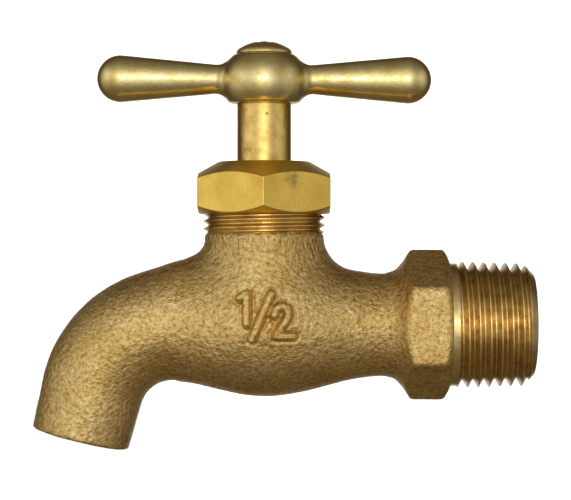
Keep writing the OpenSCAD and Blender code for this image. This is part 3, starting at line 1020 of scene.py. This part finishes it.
# %% Rubber, graphite and small brass pieces
def soft_black(name, dark, light, roughness, grain):
    material, tree, shader, mm = finish_tree(name, roughness, metallic=0.0)
    speck = noise(tree, mm, grain, 3.0)
    tree.links.new(ramp(tree, speck, [(0.35, dark), (0.7, light)]), shader.inputs["Base Color"])
    tree.links.new(ramp(tree, speck, [(0.3, roughness), (0.7, roughness - 0.15)]), shader.inputs["Roughness"])
    bumps(tree, shader, [(speck, 0.05, 0.5)])
    return material


rubber = soft_black("black rubber", (0.012, 0.012, 0.013), (0.035, 0.034, 0.034), 0.75, 4.0)
graphite = soft_black("pressed graphite", (0.02, 0.02, 0.022), (0.09, 0.09, 0.095), 0.5, 7.0)
for node, finish in (("seat_washer", rubber), ("packing", graphite), ("packing_gland", neck_brass),
                     ("packing_washer", neck_brass), ("washer_screw", screw_brass)):
    mesh = frame["nodes"][node].data
    mesh.materials.clear()
    mesh.materials.append(finish)
print("inner finishes:", rubber.name, "and", graphite.name)

# %% [markdown]
# ## Floor, light and camera
# The bib is shown as in a light tent: a pale floor that curves up into a pale wall all round, one broad soft
# light in front and gentle light from the sides. Brass needs something dark to reflect as well, so the tent
# is dimmer above and below than it is in front.

# %% A pale floor that curves up all round, in metres
FLOOR_R, COVE_R, WALL_HIGH, FLOOR_Z = 1.6, 0.9, 3.0, -0.12
COVE_STEPS, FLOOR_SIDES = 16, 96


def backdrop():
    profile = [(FLOOR_R, 0.0)]
    for step in range(1, COVE_STEPS + 1):
        a = math.radians(90 * step / COVE_STEPS)
        profile.append((FLOOR_R + COVE_R * math.sin(a), COVE_R * (1 - math.cos(a))))
    profile.append((FLOOR_R + COVE_R, WALL_HIGH))
    points = []
    for i in range(FLOOR_SIDES):
        a = 2 * math.pi * i / FLOOR_SIDES
        points += [(r * math.cos(a), r * math.sin(a), z + FLOOR_Z) for r, z in profile]
    n = len(profile)
    faces = faces_round(FLOOR_SIDES, n) + [tuple(i * n for i in range(FLOOR_SIDES))]
    mesh = bpy.data.meshes.new("floor")
    mesh.from_pydata(points, [], faces)
    smooth_faces(mesh)
    floor = new_object("floor", mesh)
    material, tree, shader, mm = finish_tree("pale paper", 0.9, metallic=0.0)
    fibre = noise(tree, mm, 0.02, 2.0)
    tree.links.new(ramp(tree, fibre, [(0.3, 0.86), (0.7, 0.88)]), shader.inputs["Base Color"])
    shader.inputs["Emission Color"].default_value = (1, 1, 1, 1)
    shader.inputs["Emission Strength"].default_value = 1.0
    mesh.materials.append(material)
    return floor


floor = backdrop()
floor.visible_glossy = floor.visible_diffuse = floor.visible_shadow = False
print("floor:", len(floor.data.polygons), "faces")

# %% [markdown]
# ### The tent's light
# Lamps alone leave brass black between their reflections. A sky that is a sum of soft patches is shaped like
# the cloth of a tent: a bright band in front with three windows, whose gaps give round pieces their streaks,
# a patch behind for the far side, and a faint warm glow everywhere.

# %% The tent as a sky, and a soft box in front
WINDOWS = [(-0.04, 0.44, 1.15), (-0.90, 0.25, 0.40), (0.92, 0.20, 0.25)]


def ease_step(value, low, high):
    t = ((value - low) / (high - low)).clamp()
    return t * t * (t * -2 + 3)


def hump(value, centre, width):
    off = (value - centre) / width
    return (off * off * -1).math("EXPONENT")


def tent_light():
    world = bpy.data.worlds.new("light tent")
    bpy.context.scene.world = world
    world.use_nodes = True
    tree = world.node_tree
    tree.nodes.clear()
    side, away, up = split_axes(tree, tree.nodes.new("ShaderNodeTexCoord").outputs["Generated"])
    front = ease_step(away * -1, -0.60, 0.30)
    cloth = side * -0.06 + 0.42
    for centre, width, strength in WINDOWS:
        cloth = cloth + hump(side, centre, width) * strength
    band = cloth * front * hump(up, 0.12, 0.56)
    back = ease_step(away, 0.84, 0.98) * 0.7
    below = (up * -1).math("MAXIMUM", 0) * 0.08
    above = up.math("MAXIMUM", 0) * 0.03
    end = tree.nodes.new("ShaderNodeOutputWorld")
    both = tree.nodes.new("ShaderNodeAddShader")
    lights = ((band + back, (1.0, 0.99, 0.98)), (below + above + 0.065, (1.0, 0.76, 0.45)))
    for socket, (light, colour) in enumerate(lights):
        shade = add_node(tree, "ShaderNodeBackground", Color=(*colour, 1), Strength=light.socket)
        tree.links.new(shade.outputs[0], both.inputs[socket])
    tree.links.new(both.outputs[0], end.inputs[0])


def soft_box(name, at, aim, size, power):
    light = bpy.data.lights.new(name, "AREA")
    light.shape, light.energy = "RECTANGLE", power
    light.size, light.size_y = size
    lamp = new_object(name, light)
    lamp.location = at
    lamp.rotation_mode = "QUATERNION"
    lamp.rotation_quaternion = (Vector(at) - Vector(aim)).to_track_quat("Z", "Y")


tent_light()
soft_box("front soft box", at=(-0.06, -0.85, 0.10), aim=(-0.034, 0, 0.013), size=(0.36, 0.14), power=0.3)
print("lights:", len(bpy.data.lights))

# %% [markdown]
# ### The camera
# The bib is looked at square from the side, from not quite 0.4 m. A longer lens from further off would
# flatten it: from here its near edges spread a little, as they do to the eye.

# %% The camera
CAMERA_RIGHT, CAMERA_AWAY, CAMERA_HIGH = 0.0036, 0.370, 0.0126
camera_data = bpy.data.cameras.new("camera")
camera_data.sensor_width, camera_data.lens = 36, 138
camera = new_object("camera", camera_data)
camera.location = (STEM_X / MM_PER_M + CAMERA_RIGHT, -CAMERA_AWAY, CAMERA_HIGH)
camera.rotation_euler = (math.radians(90), 0, 0)
camera_data.clip_start, camera_data.clip_end = 0.01, 20
bpy.context.scene.camera = camera
bpy.context.scene.view_settings.view_transform = "Standard"
print(f"camera: {camera_data.lens:.0f} mm lens, {CAMERA_AWAY:.2f} m away")
